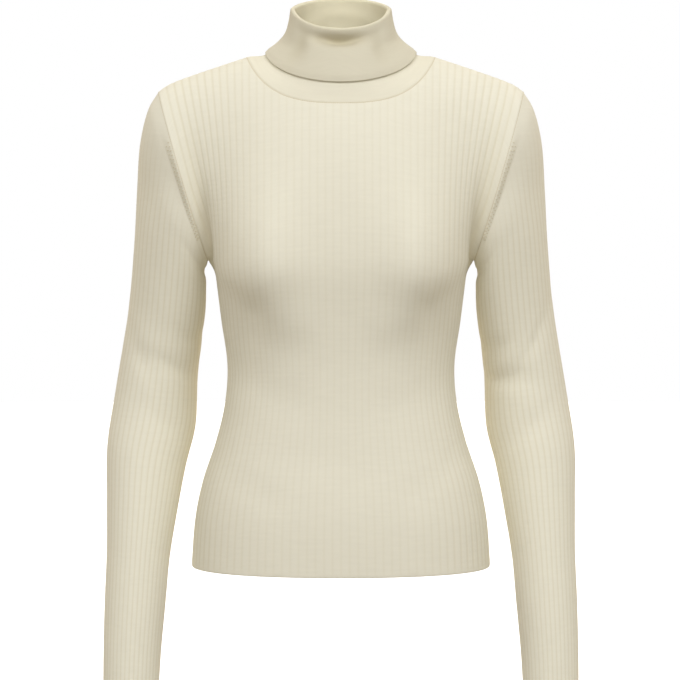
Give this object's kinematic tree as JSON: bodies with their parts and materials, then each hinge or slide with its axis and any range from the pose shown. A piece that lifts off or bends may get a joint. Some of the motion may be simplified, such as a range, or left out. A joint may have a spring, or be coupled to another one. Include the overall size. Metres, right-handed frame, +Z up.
{
  "type": "turtleneck sweater",
  "caption": "Fitted long-sleeved turtleneck sweater in fine ribbed knit, hollow and filled out as when it is worn, with a folded collar.",
  "frame": {"origin": "middle of the neck, level with the inner ends of the shoulders, where the wearer's shoulders hold the sweater up", "axes": "+Z up, +Y towards the wearer's back, so the front faces -Y, and +X towards the wearer's left"},
  "size_m": [0.4994, 0.2248, 0.7222],
  "materials": {
    "rib_knit": "cream fine ribbed knit in soft wool-like yarn, matt",
    "plain_knit": "cream fine plain knit in the same yarn, matt"
  },
  "bodies": {
    "root": {"front": "rib_knit", "back": "rib_knit", "sleeve_left": "rib_knit", "sleeve_right": "rib_knit", "collar": "plain_knit"}
  },
  "joints": []
}
